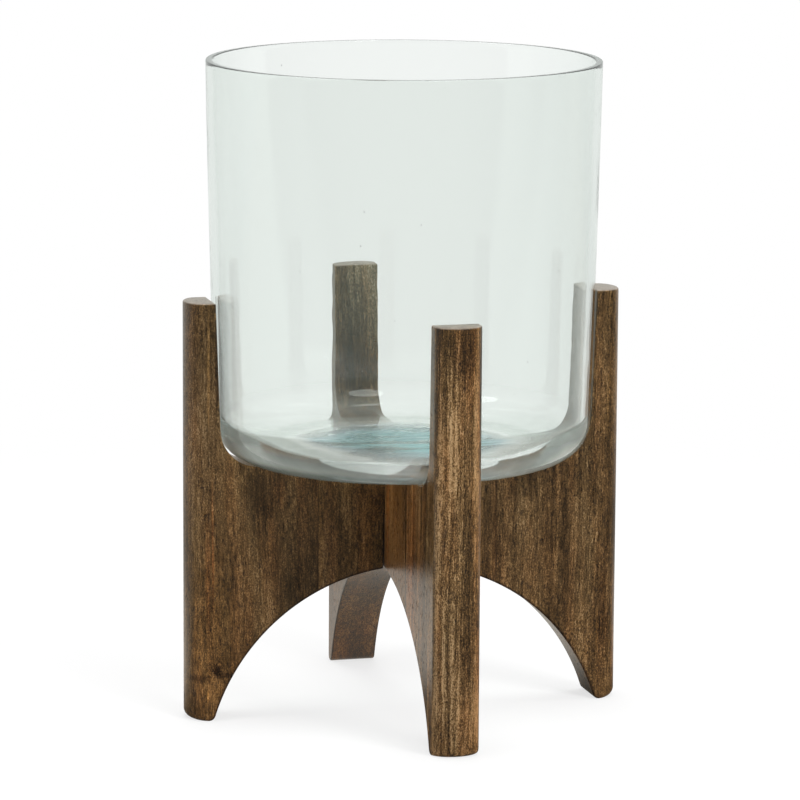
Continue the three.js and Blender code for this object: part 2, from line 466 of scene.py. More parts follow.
@dataclass(frozen=True)
class StainedWood:
    """Brown stained hardwood with an upright grain under a satin lacquer."""

    name: str
    turn: float
    shift: Place
    tone: float = 0.0
    warmth: float = 0.3
    contrast: float = 1.0
    streak: float = 1.0
    tinge: Colour = WHITE
    marks: tuple[GrainMark, ...] = ()

    # How the grain winds, and its patterns
    sway_stretch: Place = (16.0, 16.0, 6.0)
    sway_reach: Place = (0.010, 0.010, 0.0)
    mark_sway: float = 0.003
    ring_stretch: Point = (150.0, 1.5)
    streaks: Pattern = Pattern((420.0, 420.0, 5.0), roughness=0.6)
    fibres: Pattern = Pattern((1300.0, 1300.0, 160.0), roughness=0.6)
    grit: Pattern = Pattern((1900.0, 1900.0, 1100.0), detail=1.0, roughness=0.7)
    blotches: Pattern = Pattern((45.0, 45.0, 14.0), detail=3.0, roughness=0.55)
    pores: Pattern = Pattern((1100.0, 1100.0, 330.0), detail=1.0, shift=(3.1, 1.7, 0.4))
    pore_range: Point = (0.6, 0.72)
    warm_zones: Pattern = Pattern((90.0, 90.0, 9.0), detail=3.0, roughness=0.6, shift=(7.7, 3.1, 5.2))

    # Share of each pattern in the stain, in the gloss, in the relief and on sanded end grain
    even_shares: Shares = ((Layer.GRIT, 1.05), (Layer.FIBRES, 0.85), (Layer.BLOTCHES, 0.9))
    band_shares: Shares = ((Layer.STREAKS, 1.1), (Layer.RINGS, 0.8))
    pore_share: float = 0.17
    gloss_shares: Shares = ((Layer.FIBRES, 0.12), (Layer.PORES, 0.25))
    relief_shares: Shares = (
        (Layer.FIBRES, 0.5),
        (Layer.GRIT, 0.4),
        (Layer.PORES, -0.9),
        (Layer.STREAKS, 0.8),
    )
    end_shares: Shares = ((Layer.GRIT, 0.5), (Layer.STREAKS, 0.7), (Layer.RINGS, 0.6))

    # The stain, from the darkest grain to the palest, and its warm and cool zones
    stops: tuple[tuple[float, Colour], ...] = (
        (0.08, from_srgb(24, 16, 6)),
        (0.3, from_srgb(50, 35, 15)),
        (0.5, from_srgb(80, 58, 30)),
        (0.68, from_srgb(112, 84, 49)),
        (0.95, from_srgb(158, 129, 90)),
    )
    warm: Colour = (1.4, 0.97, 0.62)
    warm_range: Point = (0.45, 0.7)
    cool: Colour = (0.9, 1.02, 1.15)
    cool_range: Point = (0.5, 0.3)
    cool_share: float = 0.5

    # Sanded tops of the posts, rubbed edges and darkened edges
    end_height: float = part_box("leg_stave_right")[1].z
    end_depth: float = 0.0006
    end_share: float = 0.8
    end_range: Point = (0.7, 1.1)
    sanded_dark: Colour = (0.16, 0.125, 0.095)
    sanded_pale: Colour = (0.31, 0.255, 0.205)
    worn: Colour = (1.5, 1.5, 1.5)
    worn_range: Point = (0.35, 0.6)
    # Darker colour along the edges marked below 0 in the edge attribute: under the arch and round the middle
    # staves
    dark_edge: Colour = (0.3, 0.27, 0.27)
    dark_edge_share: float = 0.9
    mark_range: Point = (1.25, 0.4)
    mark_raggedness: float = 1.2

    # Lacquer
    least_roughness: float = 0.24
    relief_strength: float = 0.5
    relief_depth: float = 0.00015
    index: float = 1.5

    def material(self) -> bpy.types.Material:
        """Builds the material: grain, stain, marks, edges and lacquer."""
        made, n = new_material(self.name)
        place = n.place()
        upright = n.placed(place, (1, 1, 1), (0, 0, 0), self.turn)
        sway = n.noise(n.placed(upright, self.sway_stretch, self.shift), detail=1.0, output="Color")
        sway = n.vectors("SUBTRACT", sway, (0.5, 0.5, 0.5))
        swayed = n.vectors("ADD", upright, n.vectors("MULTIPLY", sway, self.sway_reach))
        barely = n.vectors("ADD", upright, n.scaled(sway, self.mark_sway))
        grain = n.placed(swayed, (1, 1, 1), self.shift)
        layers = self.layers(n, grain)
        zones = self.warm_zones.over(n, grain)
        colour = self.stained(n, layers, zones)
        for mark in self.marks:
            colour = self.marked(n, colour, barely, mark, layers[Layer.GRIT])
        _, _, up = n.parts(place)
        colour = self.edged(n, colour, up, layers)

        relief = {
            "Strength": self.relief_strength,
            "Distance": self.relief_depth,
            "Height": self.total(layers, self.relief_shares),
        }
        lacquer = {
            "Base Color": colour,
            "Roughness": self.total(layers, self.gloss_shares) + self.least_roughness,
            "Normal": n.node("ShaderNodeBump", {}, relief, "Normal"),
            "IOR": self.index,
        }
        n.finish(n.node("ShaderNodeBsdfPrincipled", {}, lacquer, "BSDF"))
        return made

    def layers(self, n: NodeMaker, grain: Socket) -> Layers:
        """The patterns of the grain at a place in the wood."""
        x, y, z = n.parts(grain)
        across, along = self.ring_stretch
        rings = n.vector(x.hypot(y) * across, z * along, 0.0)
        return {
            Layer.RINGS: n.noise(rings, detail=4.0, roughness=0.65),
            Layer.STREAKS: self.streaks.over(n, grain),
            Layer.FIBRES: self.fibres.over(n, grain),
            Layer.GRIT: self.grit.over(n, grain),
            Layer.BLOTCHES: self.blotches.over(n, grain),
            Layer.PORES: self.pores.over(n, grain).rise(*self.pore_range),
        }

    @staticmethod
    def total(layers: Layers, shares: Shares, middle: float = 0.0) -> Socket:
        """Sum of layers, each less a middle value and times its share."""
        parts = [(layers[layer] - middle) * share for layer, share in shares]
        return sum(parts[1:], start=parts[0])

    def stained(self, n: NodeMaker, layers: Layers, zones: Socket) -> Socket:
        """The stain's colour over the grain.

        Args:
            n: Maker of the material's nodes.
            layers: Patterns of the grain.
            zones: Pattern of the warm and the cool zones.

        Returns:
            The colour, before the marks.
        """
        bands = self.total(layers, self.band_shares, 0.5) * self.streak
        value = (self.total(layers, self.even_shares, 0.5) + bands) * self.contrast + (0.5 + self.tone)
        colour = n.ramp(value - layers[Layer.PORES] * self.pore_share, self.stops)
        colour = n.tinted(colour, self.tinge)
        colour = n.tinted(colour, self.warm, zones.rise(*self.warm_range) * self.warmth)
        return n.tinted(colour, self.cool, zones.rise(*self.cool_range) * self.cool_share)

    def marked(self, n: NodeMaker, colour: Socket, place: Socket, mark: GrainMark, grit: Socket) -> Socket:
        """Lays one mark over the wood's colour.

        Args:
            n: Maker of the material's nodes.
            colour: Colour so far.
            place: Place along the panel, through it and up.
            mark: The mark.
            grit: Fine noise that roughens the mark's rim.

        Returns:
            The colour with the mark.
        """
        x, _, z = n.parts(place)
        wide = (x - mark.along) / mark.half_width
        high = (z - mark.height) / mark.half_height
        reach = wide.hypot(high) + grit.swing(self.mark_raggedness)
        return n.tinted(colour, MARK_TINTS[mark.kind], reach.rise(*self.mark_range) * mark.strength)

    def edged(self, n: NodeMaker, colour: Socket, up: Socket, layers: Layers) -> Socket:
        """The colour with sanded tops, rubbed edges and darkened edges.

        Args:
            n: Maker of the material's nodes.
            colour: Colour so far.
            up: Height over the floor.
            layers: Patterns of the grain.

        Returns:
            The finished colour.
        """
        ends = self.total(layers, self.end_shares).rise(*self.end_range)
        bare = n.mix(ends, self.sanded_dark, self.sanded_pale)
        top = up.rise(self.end_height - self.end_depth, self.end_height)
        colour = n.mix(top * self.end_share, colour, bare)
        edge = n.attribute("edge")
        rubbed = edge.rise(0.0, 1.0) * layers[Layer.FIBRES].rise(*self.worn_range)
        colour = n.tinted(colour, self.worn, rubbed)
        return n.tinted(colour, self.dark_edge, edge.rise(0.0, -1.0) * self.dark_edge_share)


@dataclass(frozen=True)
class ClearGlass:
    """Clear glass with a faint grey-green tint, which lets the light of lamps through."""

    name: str = "clear_glass"
    index: float = 1.5
    # Colour of the clear body, darker where the glass is seen edge-on: painted shade along its outlines
    tint_and_edge_shade: tuple[tuple[float, Colour], ...] = (
        (0.0, (0.925, 0.952, 0.933)),
        (0.45, (0.885, 0.915, 0.897)),
        (0.8, (0.845, 0.870, 0.855)),
        (1.0, (0.78, 0.80, 0.79)),
    )
    tint: Colour = (0.20, 0.42, 0.36)
    density: float = 2.5
    shade: Colour = (0.93, 0.95, 0.94)
    floor_height: float = 0.1378
    foot_height: float = 0.1308

    # Painted reflection: a teal disc in the face of the vase's floor, standing in for the light the thick
    # base bends back; paler outwards and stronger in front
    painted_teal: Colour = (0.275, 0.46, 0.475)
    painted_teal_edge: Colour = (0.44, 0.53, 0.56)
    painted_teal_edge_range: Point = (0.030, 0.052)
    painted_teal_share: float = 0.55
    teal_disc_roughness: float = 0.3
    teal_disc_radius: float = 0.058
    teal_disc_rim: float = 0.013
    teal_disc_shift: float = 0.012
    teal_disc_squeeze: float = 0.82
    teal_disc_heights: Point = (0.004, 0.002)
    wander: Pattern = Pattern((110.0, 110.0, 40.0))
    wander_reach: float = 0.008
    veins: Pattern = Pattern((26.0, 170.0, 40.0), 3.0, 0.6, (0.3, 0.1, 0.0), 0.25)
    rough_veins: Point = (0.4, 1.3)
    painted_teal_veins: Point = (0.6, 1.4)
    patches: Pattern = Pattern((22.0, 40.0, 1.0), shift=(0.15, 0.4, 0.0))
    patch_range: Point = (0.3, 0.65)
    patch_levels: Point = (0.25, 1.0)
    front_range: Point = (-0.005, -0.050)
    front_levels: Point = (1.0, 1.5)

    # Painted pale reflection round the teal disc, up the inside corner and on the foot; glow is a painted
    # highlight ring at the disc's rim
    pale_reflection: Colour = (0.58, 0.62, 0.59)
    glow: Colour = (0.86, 0.89, 0.87)
    ring_highlight_width: float = 0.007
    pale_reflection_share: float = 0.32
    pale_reflection_heights: Point = (0.011, 0.001)
    pale_reflection_veins: Point = (0.8, 1.2)
    left_range: Point = (-0.040, -0.080)
    left_levels: Point = (1.0, 1.7)
    rear_range: Point = (0.02, 0.07)
    rear_levels: Point = (1.0, 0.3)
    ring_share: float = 0.08
    ring_heights: Point = (0.0006, 0.0001)

    # Painted shade: the dark line along the front of the heel, where the cradle lies right below
    heel_shade_colour: Colour = (0.12, 0.14, 0.125)
    heel_heights: Point = (0.0085, 0.0040)
    heel_radii: Point = (0.0765, 0.0800)
    heel_front: Point = (0.03, -0.03)
    heel_side: Point = (0.000, -0.060)
    heel_levels: Point = (0.3, 0.95)

    def material(self) -> bpy.types.Material:
        """Builds the material: the clear body, with painted teal and pale reflections and painted shade on
        the heel in its skin.
        """
        made, n = new_material(self.name)
        place = n.place()
        x, y, z = n.parts(place)
        inner = n.attribute("inside")
        veins = self.veins.over(n, place)
        away = x.hypot((y + self.teal_disc_shift) * self.teal_disc_squeeze)
        away = away + self.wander.over(n, place).swing(self.wander_reach)
        floor = inner * self.below(z, self.floor_height, self.teal_disc_heights)
        disc = away.rise(self.teal_disc_radius, self.teal_disc_radius - self.teal_disc_rim) * floor

        facing = n.node("ShaderNodeLayerWeight", {}, {"Blend": 0.5}, "Facing")
        clear = {
            "Base Color": n.mix(self.heel(x, y, z), n.ramp(facing, self.tint_and_edge_shade), self.heel_shade_colour),
            "Roughness": disc * veins.between(*self.rough_veins) * self.teal_disc_roughness,
            "IOR": self.index,
            "Transmission Weight": 1.0,
        }
        rim = away.rise(self.teal_disc_radius + self.ring_highlight_width, self.teal_disc_radius) * inner
        heart = n.mix(away.rise(*self.painted_teal_edge_range), self.painted_teal, self.painted_teal_edge)
        # Diffuse layer that carries the painted teal reflection, the painted pale reflection and the painted
        # highlight ring
        dull = {
            "Base Color": n.mix(disc, n.mix(rim, self.pale_reflection, self.glow), heart),
            "Roughness": 1.0,
            "Specular IOR Level": 0.0,
        }
        patches = self.patches.over(n, place).rise(*self.patch_range).between(*self.patch_levels)
        share = disc * veins.between(*self.painted_teal_veins) * patches * self.painted_teal_share
        share = share * y.rise(*self.front_range).between(*self.front_levels)
        pale_reflection = self.painted_reflection_amount(x, y, z, inner) * (1.0 - disc) * veins.between(*self.pale_reflection_veins)
        body = n.blend(
            share + pale_reflection,
            n.node("ShaderNodeBsdfPrincipled", {}, clear, "BSDF"),
            n.node("ShaderNodeBsdfPrincipled", {}, dull, "BSDF"),
        )
        volume = n.node("ShaderNodeVolumeAbsorption", {}, {"Color": self.tint, "Density": self.density})
        n.finish(n.shone_through(body, self.shade), volume)
        return made

    @staticmethod
    def below(z: Socket, level: float, heights: Point) -> Socket:
        """A smooth step down to a level, between two heights over it."""
        return z.rise(level + heights[0], level + heights[1])

    def heel(self, x: Socket, y: Socket, z: Socket) -> Socket:
        """How dark the painted shade on the heel is at a place: most in front and on the left, low on the
        corner.
        """
        low = self.below(z, self.foot_height, self.heel_heights) * x.hypot(y).rise(*self.heel_radii)
        return low * y.rise(*self.heel_front) * x.rise(*self.heel_side).between(*self.heel_levels)

    def painted_reflection_amount(self, x: Socket, y: Socket, z: Socket, inner: Socket) -> Socket:
        """How much painted pale reflection lies at a place.

        Args:
            x: Place to the right.
            y: Place to the rear.
            z: Height over the floor that the stand is on.
            inner: 1 on the vase's inner face, and 0 on its outer face.

        Returns:
            The share of the painted pale reflection.
        """
        corner = inner * self.below(z, self.floor_height, self.pale_reflection_heights) * self.pale_reflection_share
        # Painted reflection brighter on the left and fainter at the rear
        corner = corner * x.rise(*self.left_range).between(*self.left_levels)
        corner = corner * y.rise(*self.rear_range).between(*self.rear_levels)
        return corner + self.below(z, self.foot_height, self.ring_heights) * self.ring_share


@dataclass(frozen=True)
class TrappedAir:
    """The inside of a bubble in the glass, seen from the glass."""

    name: str = "trapped_air"
    index: float = 1.0 / 1.5

    def material(self) -> bpy.types.Material:
        """Builds the material."""
        made, n = new_material(self.name)
        air = {"Color": WHITE, "Roughness": 0.0, "IOR": self.index}
        n.finish(n.shone_through(n.node("ShaderNodeBsdfGlass", {}, air), WHITE))
        return made


# The stand


class Way(Enum):
    """Which way a panel of the stand runs."""

    ALONG_X = "x"
    ALONG_Y = "y"


@dataclass
class Inset:
    """How far one slice of a panel lies inside the panel's outline."""

    depth: float
    outer: float
    edge: float
    flat: float
    worn: float

    @property
    def free(self) -> float:
        """Inset of the edges that show."""
        return self.edge + self.flat


@dataclass
class StandPanel:
    """One panel of the stand: an arched board on edge with a post at each end, glued up from three staves."""

    way: Way
    slotted_from_below: bool
    half_length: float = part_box("leg_stave_right")[1].x
    thickness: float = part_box("leg_stave_right")[1].y * 2
    height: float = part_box("leg_stave_right")[1].z
    cradle_floor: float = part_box("centre_stave_x")[1].z
    glue_line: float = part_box("centre_stave_x")[1].x
    lap_height: float = 0.103
    arch_rise: float = 0.0755
    foot_width: float = 0.013
    post_width: float = 0.0142
    cradle_half: float = 0.0966
    cradle_corner: float = 0.020
    leg_rounding: float = 0.0085
    foot_outer: float = 0.0045
    foot_inner: float = 0.0035
    edge_radius: float = 0.0007
    post_edge: float = 0.0009
    lap_gap: float = 0.00015
    lower_slot_gap: float = 0.0008
    upper_slot_gap: float = 0.0003
    round_steps: int = 22
    edge_steps: int = 5
    face_rings: tuple[float, ...] = (0.0003, 0.0008)
    least_radius: float = 0.00005
    arch_steps: int = 44
    slotted_arch_steps: int = 14
    corner_steps: int = 16
    small_steps: int = 6
    side_steps: int = 8
    tip_steps: int = 4
    rubbed: float = 0.8
    touched: float = 0.3
    # Edge value that darkens the colour: under the arch and round the middle staves, not on the lap's faces
    dark_edge: float = -1.0

    @property
    def arch_radius(self) -> float:
        """Radius of the arch."""
        half = self.half_length - self.foot_width
        return (half**2 + self.arch_rise**2) / (2 * self.arch_rise)

    @property
    def arch_centre(self) -> float:
        """Height of the arch's centre, below the floor."""
        return self.arch_rise - self.arch_radius

    def insets(self) -> list[Inset]:
        """The slices of a panel through its thickness, from one face to the other."""
        half = self.thickness / 2
        inner = half - self.edge_radius
        start = math.asin(inner / half)
        middle = [(half * math.sin(a), 0.0, 0.0) for a in np.linspace(-start, start, self.round_steps + 1)]
        radius = self.edge_radius
        turns = np.linspace(0, QUARTER, self.edge_steps + 1)[1:]
        rim = [(inner + radius * math.sin(t), radius * (1 - math.cos(t)), 0.0) for t in turns]
        rim += [(half, radius, flat) for flat in self.face_rings]
        places = [(-y, e, f) for y, e, f in reversed(rim)] + middle + rim
        slices = []
        for depth, edge, flat in places:
            share = min(abs(depth) / half, 1.0)
            outer = self.half_length - self.leg_rounding * (1 - math.sqrt(1 - share**2)) - flat
            worn = max(0.0, 1 - flat / self.face_rings[-1]) if edge > 0 else 0.0
            slices.append(Inset(depth, outer, edge, flat, worn))
        return slices

    def arch_part(self, start: float, stop: float, inset: float, steps: int) -> list[Point]:
        """Points along the arch between two places, with both ends."""
        radius = self.arch_radius + inset
        ends = (math.acos(start / radius), math.acos(stop / radius))
        return arc((0, self.arch_centre), (radius, radius), *ends, steps)

    def leg_outline(self, s: Inset) -> tuple[list[Point], list[float]]:
        """Outline of the right leg stave at one slice.

        Args:
            s: The slice.

        Returns:
            The points, and for each how much of an edge it lies on.
        """
        glue = self.glue_line + s.flat
        arch = self.arch_radius + s.free
        toe = max(self.foot_inner - s.free, self.least_radius)
        toe_height = s.free + toe
        toe_x = math.sqrt((arch + toe) ** 2 - (toe_height - self.arch_centre) ** 2)
        toe_angle = math.atan2(toe_height - self.arch_centre, toe_x)
        under = self.arch_part(glue, arch * math.cos(toe_angle), s.free, self.arch_steps)
        inner_toe = arc((toe_x, toe_height), (toe, toe), toe_angle - math.pi, -QUARTER, self.small_steps)
        reach = s.outer - toe_x - self.least_radius
        heel = min(self.foot_outer - s.flat, reach)
        heel_high = max(min(self.foot_outer, reach + s.flat) - s.free, self.least_radius)
        sole_end = (s.outer - heel, s.free + heel_high)
        outer_toe = arc(sole_end, (heel, heel_high), -QUARTER, 0, self.small_steps)

        top = self.height - s.free
        mouth = self.half_length - self.post_width
        lean = math.atan2(mouth - self.cradle_half, self.height - self.cradle_floor)
        tip = max(self.post_edge - s.free, self.least_radius)
        side = line((s.outer, s.free + heel_high), (s.outer, top - tip), self.side_steps)
        outer_tip = arc((s.outer - tip, top - tip), (tip, tip), 0, QUARTER, self.tip_steps)
        mouth_x = mouth + s.free / math.cos(lean)
        inner_tip = arc((mouth_x + tip, top - tip), (tip, tip), QUARTER, math.pi, self.tip_steps)

        corner = self.cradle_corner + s.free
        corner_x = self.cradle_half - self.cradle_corner * (1 - math.sin(lean)) / math.cos(lean)
        corner_z = self.cradle_floor + self.cradle_corner
        cradle = arc((corner_x, corner_z), (corner, corner), -lean, -QUARTER, self.corner_steps)
        stretches = (
            (under + inner_toe[1:], self.dark_edge),
            (outer_toe, self.touched),
            (side, 0.0),
            (outer_tip + inner_tip, self.rubbed),
            (cradle + [(glue, self.cradle_floor - s.free)], self.touched),
        )
        points = [point for part, _ in stretches for point in part]
        edges = [edge for part, edge in stretches for _ in part]
        return points, edges

    def centre_outline(self, s: Inset) -> tuple[list[Point], list[float]]:
        """Outline of the middle stave at one slice, with its slot from below or from above.

        Args:
            s: The slice.

        Returns:
            The points, and for each how much of an edge it lies on.
        """
        glue = self.glue_line - s.flat
        floor = self.cradle_floor - s.free
        if self.slotted_from_below:
            slot = self.thickness / 2 + self.lower_slot_gap + s.flat
            roof = self.lap_height + self.lap_gap + s.flat
            points = self.arch_part(-glue, -slot, s.free, self.slotted_arch_steps)
            points += [(-slot, roof), (slot, roof)]
            points += self.arch_part(slot, glue, s.free, self.slotted_arch_steps)
            points += [(glue, floor), (-glue, floor)]
            edges = [0.0 if abs(z - roof) < self.least_radius else self.dark_edge for _, z in points]
            return points, edges
        slot = self.thickness / 2 + self.upper_slot_gap + s.flat
        bed = self.lap_height - self.lap_gap - s.flat
        points = self.arch_part(-glue, glue, s.free, self.arch_steps)
        points += [(glue, floor), (slot, floor), (slot, bed), (-slot, bed), (-slot, floor), (-glue, floor)]
        edges = [0.0 if abs(z - bed) < self.least_radius else self.dark_edge for _, z in points]
        return points, edges

    def stave(self, name: str, side: int) -> bpy.types.Object:
        """Builds one stave.

        Args:
            name: Name of the new object.
            side: 1 for the leg stave at the panel's positive end, -1 for the other, 0 for the middle.

        Returns:
            The new object.
        """
        rings, worn = [], []
        for s in self.insets():
            points, edges = self.centre_outline(s) if side == 0 else self.leg_outline(s)
            ring = np.array([(x * (side or 1), s.depth, z) for x, z in points])
            rings.append(ring)
            worn.append([s.worn * e for e in edges])
        places = np.array(rings)
        if self.way is Way.ALONG_Y:
            places = np.stack([-places[..., 1], places[..., 0], places[..., 2]], axis=-1)
        return body_through(name, places, np.array(worn))


LEFT_WOOD = StainedWood(
    name="stained_wood_left",
    turn=0.0,
    shift=(0.145, 0.05, 0.31),
    tone=-0.035,
    contrast=0.85,
    streak=0.4,
    marks=(
        GrainMark(Mark.PALE, -0.1035, 0.184, 0.0008, 0.036, 0.8),
        GrainMark(Mark.DARK, -0.1050, 0.170, 0.0120, 0.070, 0.5),
        # Painted shade: the dark inner edge of the post, where its inner face lies in shadow beside the glass
        GrainMark(Mark.DARK, -0.0985, 0.188, 0.0018, 0.036, 0.9),
        GrainMark(Mark.PALE, -0.1020, 0.045, 0.0130, 0.050, 0.5),
        GrainMark(Mark.PALE, -0.1090, 0.060, 0.0020, 0.060, 0.35),
        GrainMark(Mark.ORANGE, -0.1040, 0.075, 0.0016, 0.034, 0.4),
        GrainMark(Mark.ORANGE, -0.1015, 0.088, 0.0007, 0.040, 0.6),
        GrainMark(Mark.GREY, -0.1085, 0.075, 0.0020, 0.040, 0.7),
        GrainMark(Mark.DARK, -0.1085, 0.0225, 0.0055, 0.0022, 0.9),
        GrainMark(Mark.DARK, -0.0960, 0.0235, 0.0065, 0.0018, 0.9),
        GrainMark(Mark.DARK, -0.1005, 0.0270, 0.0050, 0.0042, 0.6),
        GrainMark(Mark.KNOT, -0.0998, 0.0262, 0.0022, 0.0032, 1.0),
        GrainMark(Mark.PALE, -0.1006, 0.0266, 0.0010, 0.0016, 1.0),
        GrainMark(Mark.PALE, -0.1045, 0.0120, 0.0006, 0.0060, 0.8),
        GrainMark(Mark.ORANGE, -0.0665, 0.1170, 0.0032, 0.0100, 0.3),
        GrainMark(Mark.DARK, -0.0780, 0.1150, 0.0100, 0.0130, 0.5),
    ),
)
CENTRE_X_WOOD = StainedWood(
    name="stained_wood_centre_x",
    turn=0.0,
    shift=(0.03, 0.08, 0.77),
    tone=-0.03,
    contrast=0.85,
    streak=0.4,
    marks=(
        GrainMark(Mark.PALE, -0.0455, 0.0970, 0.0025, 0.0300, 0.3),
        # Painted shade: the dark corner beside the joint, and the dark line of the half-lap's slit
        GrainMark(Mark.DARK, -0.0145, 0.1100, 0.0040, 0.0080, 0.7),
        GrainMark(Mark.CRACK_AND_SLIT_SHADE, -0.0126, 0.0900, 0.0010, 0.0200, 1.0),
    ),
)
RIGHT_WOOD = StainedWood(
    name="stained_wood_right",
    turn=0.0,
    shift=(-0.02, 0.11, 0.13),
    tone=-0.06,
    contrast=0.95,
    streak=0.5,
    marks=(
        GrainMark(Mark.CRACK_AND_SLIT_SHADE, 0.1072, 0.196, 0.0004, 0.012, 0.8),
        GrainMark(Mark.CRACK_AND_SLIT_SHADE, 0.1062, 0.180, 0.0003, 0.010, 0.7),
        GrainMark(Mark.PALE, 0.1065, 0.155, 0.0012, 0.022, 0.4),
        GrainMark(Mark.CRACK_AND_SLIT_SHADE, 0.1038, 0.0370, 0.0005, 0.0070, 1.0),
        GrainMark(Mark.PALE, 0.1026, 0.0370, 0.0008, 0.0120, 0.6),
        GrainMark(Mark.DARK, 0.1090, 0.1200, 0.0025, 0.1000, 0.5),
    ),
)
FRONT_WOOD = StainedWood(
    name="stained_wood_front",
    turn=-QUARTER,
    shift=(0.12, 0.03, 0.53),
    tone=0.0,
    warmth=0.45,
    contrast=1.1,
    marks=(
        GrainMark(Mark.ORANGE, -0.0640, 0.0900, 0.0240, 0.0700, 0.5),
        GrainMark(Mark.DARK, -0.1100, 0.0200, 0.0200, 0.0600, 0.2),
        GrainMark(Mark.DARK, -0.1142, 0.2000, 0.0020, 0.0130, 0.5),
        GrainMark(Mark.CRACK_AND_SLIT_SHADE, -0.1142, 0.1560, 0.0005, 0.0012, 0.9),
    ),
)
CENTRE_Y_WOOD = StainedWood(
    name="stained_wood_centre_y",
    turn=-QUARTER,
    shift=(0.02, 0.06, 0.91),
    tone=0.06,
    tinge=(1.22, 1.0, 0.8),
    warmth=0.8,
    contrast=0.7,
    streak=0.45,
    marks=(
        # Painted shade: the half-lap's slit seen dark, and the dark corner beside the joint near the top
        GrainMark(Mark.CRACK_AND_SLIT_SHADE, -0.0096, 0.0900, 0.0036, 0.0300, 1.0),
        GrainMark(Mark.DARK, -0.0120, 0.1240, 0.0100, 0.0120, 0.6),
    ),
)
REAR_WOOD = StainedWood(
    name="stained_wood_rear",
    turn=-QUARTER,
    shift=(-0.1, 0.09, 0.37),
    tone=-0.04,
    contrast=0.85,
    streak=0.6,
    tinge=(1.0, 0.9, 0.75),
    marks=(
        # Pale grey film on the post's inner face, seen through the glass: partly dust, partly a painted
        # reflection of the glass's veil
        GrainMark(Mark.BLOOM, 0.0975, 0.200, 0.0120, 0.0400, 1.0),
        GrainMark(Mark.BLOOM, 0.0975, 0.145, 0.0090, 0.0120, 0.6),
        GrainMark(Mark.DARK, 0.1050, 0.020, 0.0200, 0.0500, 0.45),
        GrainMark(Mark.ORANGE, 0.1050, 0.020, 0.0200, 0.0500, 0.2),
    ),
)


@dataclass(frozen=True)
class Stave:
    """One stave of a panel: its name, its side, its wood and what it stands for."""

    piece: str
    node: str
    side: int
    wood: StainedWood


@dataclass
class WoodenStand:
    """The crossed stand: two panels of three staves each."""

    body: str = "stand"

    def staves(self) -> dict[Way, tuple[Stave, ...]]:
        """The staves of both panels, each with its own wood."""
        return {
            Way.ALONG_X: (
                Stave("left_leg_wood", "leg_stave_left", -1, LEFT_WOOD),
                Stave("centre_wood_x", "centre_stave_x", 0, CENTRE_X_WOOD),
                Stave("right_leg_wood", "leg_stave_right", 1, RIGHT_WOOD),
            ),
            Way.ALONG_Y: (
                Stave("front_leg_wood", "leg_stave_front", -1, FRONT_WOOD),
                Stave("centre_wood_y", "centre_stave_y", 0, CENTRE_Y_WOOD),
                Stave("rear_leg_wood", "leg_stave_rear", 1, REAR_WOOD),
            ),
        }

    def build(self) -> None:
        """Builds and dresses every stave, hangs it on the stand's body, hides the part it stands for and logs
        it.
        """
        for way, staves in self.staves().items():
            panel = StandPanel(way, slotted_from_below=way is Way.ALONG_X)
            for stave in staves:
                piece = panel.stave(stave.piece, stave.side)
                piece.data.materials.append(stave.wood.material())
                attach(piece, self.body)
                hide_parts(stave.node)
                report(piece, self.body)


# The vase


